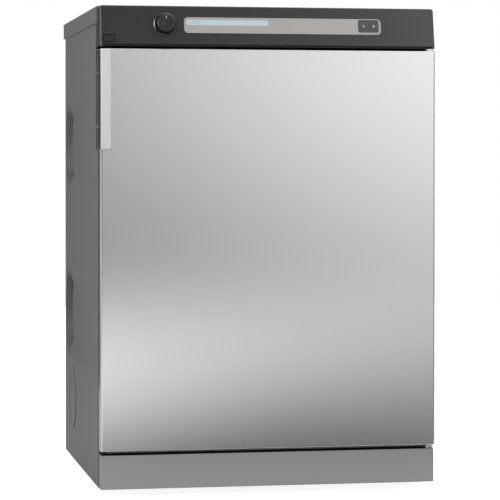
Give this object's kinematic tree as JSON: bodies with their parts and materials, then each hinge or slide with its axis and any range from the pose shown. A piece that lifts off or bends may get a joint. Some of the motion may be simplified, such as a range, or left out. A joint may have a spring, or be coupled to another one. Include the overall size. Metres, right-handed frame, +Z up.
{
  "type": "tumble dryer",
  "caption": "Under-counter front-loading vented laundry dryer with a square steel door, a grip strip at its edge and a dark control fascia.",
  "frame": {"origin": "on the floor, under the middle of the machine's overall box", "axes": "+X to the right seen from the front, +Y towards the back, +Z up"},
  "size_m": [0.6, 0.623, 0.85],
  "materials": {
    "side_grey": "satin grey powder paint",
    "zinc_sheet": "zinc-coated sheet",
    "front_white": "pale enamel",
    "stainless_brushed": "vertical brushed grain",
    "drum_steel": "rolled stainless",
    "door_white": "moulded, fine texture",
    "grip_silver": "satin anodised",
    "black_plastic": "moulded, fine texture",
    "fascia_plastic": "dark satin",
    "strip_grey": "warm grey gloss",
    "display_blue": "pale blue display",
    "filter_mesh": "fine woven mesh",
    "rubber_black": "moulded",
    "felt_grey": "pressed felt",
    "steel_bright": "turned and plated",
    "nylon": "natural nylon",
    "board_green": "circuit board",
    "motor_paint": "stoved enamel",
    "cast_grey": "as cast, painted",
    "lamp_glass": "frosted lens"
  },
  "bodies": {
    "cabinet": {"base_tray": "zinc_sheet", "bearing_housing": "cast_grey", "cabinet_screws": "steel_bright", "control_board": "board_green", "control_fascia": "fascia_plastic", "display_screen": "display_blue", "display_strip": "strip_grey", "door_catch": "black_plastic", "drive_belt": "rubber_black", "drive_brackets": "zinc_sheet", "drum_bearing": "steel_bright", "drum_felts": "felt_grey", "drum_lamp": "lamp_glass", "exhaust_elbow": "black_plastic", "exhaust_pipe": "zinc_sheet", "fan_housing": "black_plastic", "filter_duct": "black_plastic", "foot_nuts": "steel_bright", "front_panel": "front_white", "front_rail": "zinc_sheet", "grip_recess": "black_plastic", "heater_elements": "steel_bright", "heater_pan": "zinc_sheet", "hinges": "steel_bright", "key_frame": "strip_grey", "knob_collar": "fascia_plastic", "left_side_panel": "side_grey", "levelling_feet": "rubber_black", "mains_inlet": "black_plastic", "moisture_strips": "stainless_brushed", "motor": "motor_paint", "plinth_panel": "side_grey", "power_body": "black_plastic", "rear_panel": "zinc_sheet", "right_side_panel": "side_grey", "top_lid": "side_grey", "vent_covers": "side_grey"},
    "door": {"door_outer_panel": "stainless_brushed", "door_inner_panel": "door_white", "door_grip": "black_plastic", "grip_strip": "grip_silver", "door_seal": "rubber_black", "hinge_bushes": "nylon", "magnet_plate": "steel_bright"},
    "lint_filter": {"lint_filter_frame": "door_white", "lint_filter_mesh": "filter_mesh"},
    "plunger": {"switch_plunger": "black_plastic"},
    "knob": {"programme_knob": "fascia_plastic"},
    "start": {"start_key": "fascia_plastic"},
    "stop": {"stop_key": "fascia_plastic"},
    "power": {"power_switch": "fascia_plastic"},
    "drum": {"drum_shell": "drum_steel", "drum_back": "drum_steel", "drum_lifters": "drum_steel", "drum_shaft": "steel_bright"},
    "rotor": {"motor_shaft": "steel_bright", "motor_pulley": "steel_bright", "fan_wheel": "black_plastic"},
    "arm": {"tension_arm": "steel_bright"},
    "idler": {"idler_pulley": "nylon"}
  },
  "joints": [
    {"name": "door_hinge", "type": "hinge", "parent": "cabinet", "child": "door", "pos_m": [0.2875, -0.2925, 0.426], "axis": [0, 0, 1], "range_deg": [0, 165]},
    {"name": "filter_lift", "type": "slide", "parent": "door", "child": "lint_filter", "axis": [0, 0, 1], "range_m": [0, 0.145]},
    {"name": "plunger_press", "type": "slide", "parent": "cabinet", "child": "plunger", "axis": [0, 1, 0], "range_m": [0, 0.0015], "stiffness_N_per_m": 150},
    {"name": "knob_turn", "type": "hinge", "parent": "cabinet", "child": "knob", "pos_m": [-0.183, -0.29446, 0.81728], "axis": [0, -0.9816, 0.1908], "continuous": true},
    {"name": "start_press", "type": "slide", "parent": "cabinet", "child": "start", "axis": [0, 0.9816, -0.1908], "range_m": [0, 0.0015], "stiffness_N_per_m": 400},
    {"name": "stop_press", "type": "slide", "parent": "cabinet", "child": "stop", "axis": [0, 0.9816, -0.1908], "range_m": [0, 0.0015], "stiffness_N_per_m": 400},
    {"name": "power_press", "type": "slide", "parent": "cabinet", "child": "power", "axis": [0, 0.9816, -0.1908], "range_m": [0, 0.0025], "stiffness_N_per_m": 400},
    {"name": "drum_spin", "type": "hinge", "parent": "cabinet", "child": "drum", "pos_m": [0, -0.0035, 0.47], "axis": [0, 1, 0], "continuous": true},
    {"name": "motor_spin", "type": "hinge", "parent": "cabinet", "child": "rotor", "pos_m": [-0.13, -0.0035, 0.112], "axis": [0, 1, 0], "continuous": true},
    {"name": "arm_swing", "type": "hinge", "parent": "cabinet", "child": "arm", "pos_m": [-0.23, 0.1045, 0.072], "axis": [0, 1, 0], "range_deg": [0, 12], "stiffness_Nm_per_rad": 8},
    {"name": "idler_spin", "type": "hinge", "parent": "arm", "child": "idler", "pos_m": [-0.19, 0.1215, 0.185], "axis": [0, 1, 0], "continuous": true}
  ],
  "couplings": [
    {"joint": "motor_spin", "follows": "drum_spin", "ratio": 27.116},
    {"joint": "idler_spin", "follows": "drum_spin", "ratio": 18.255}
  ]
}
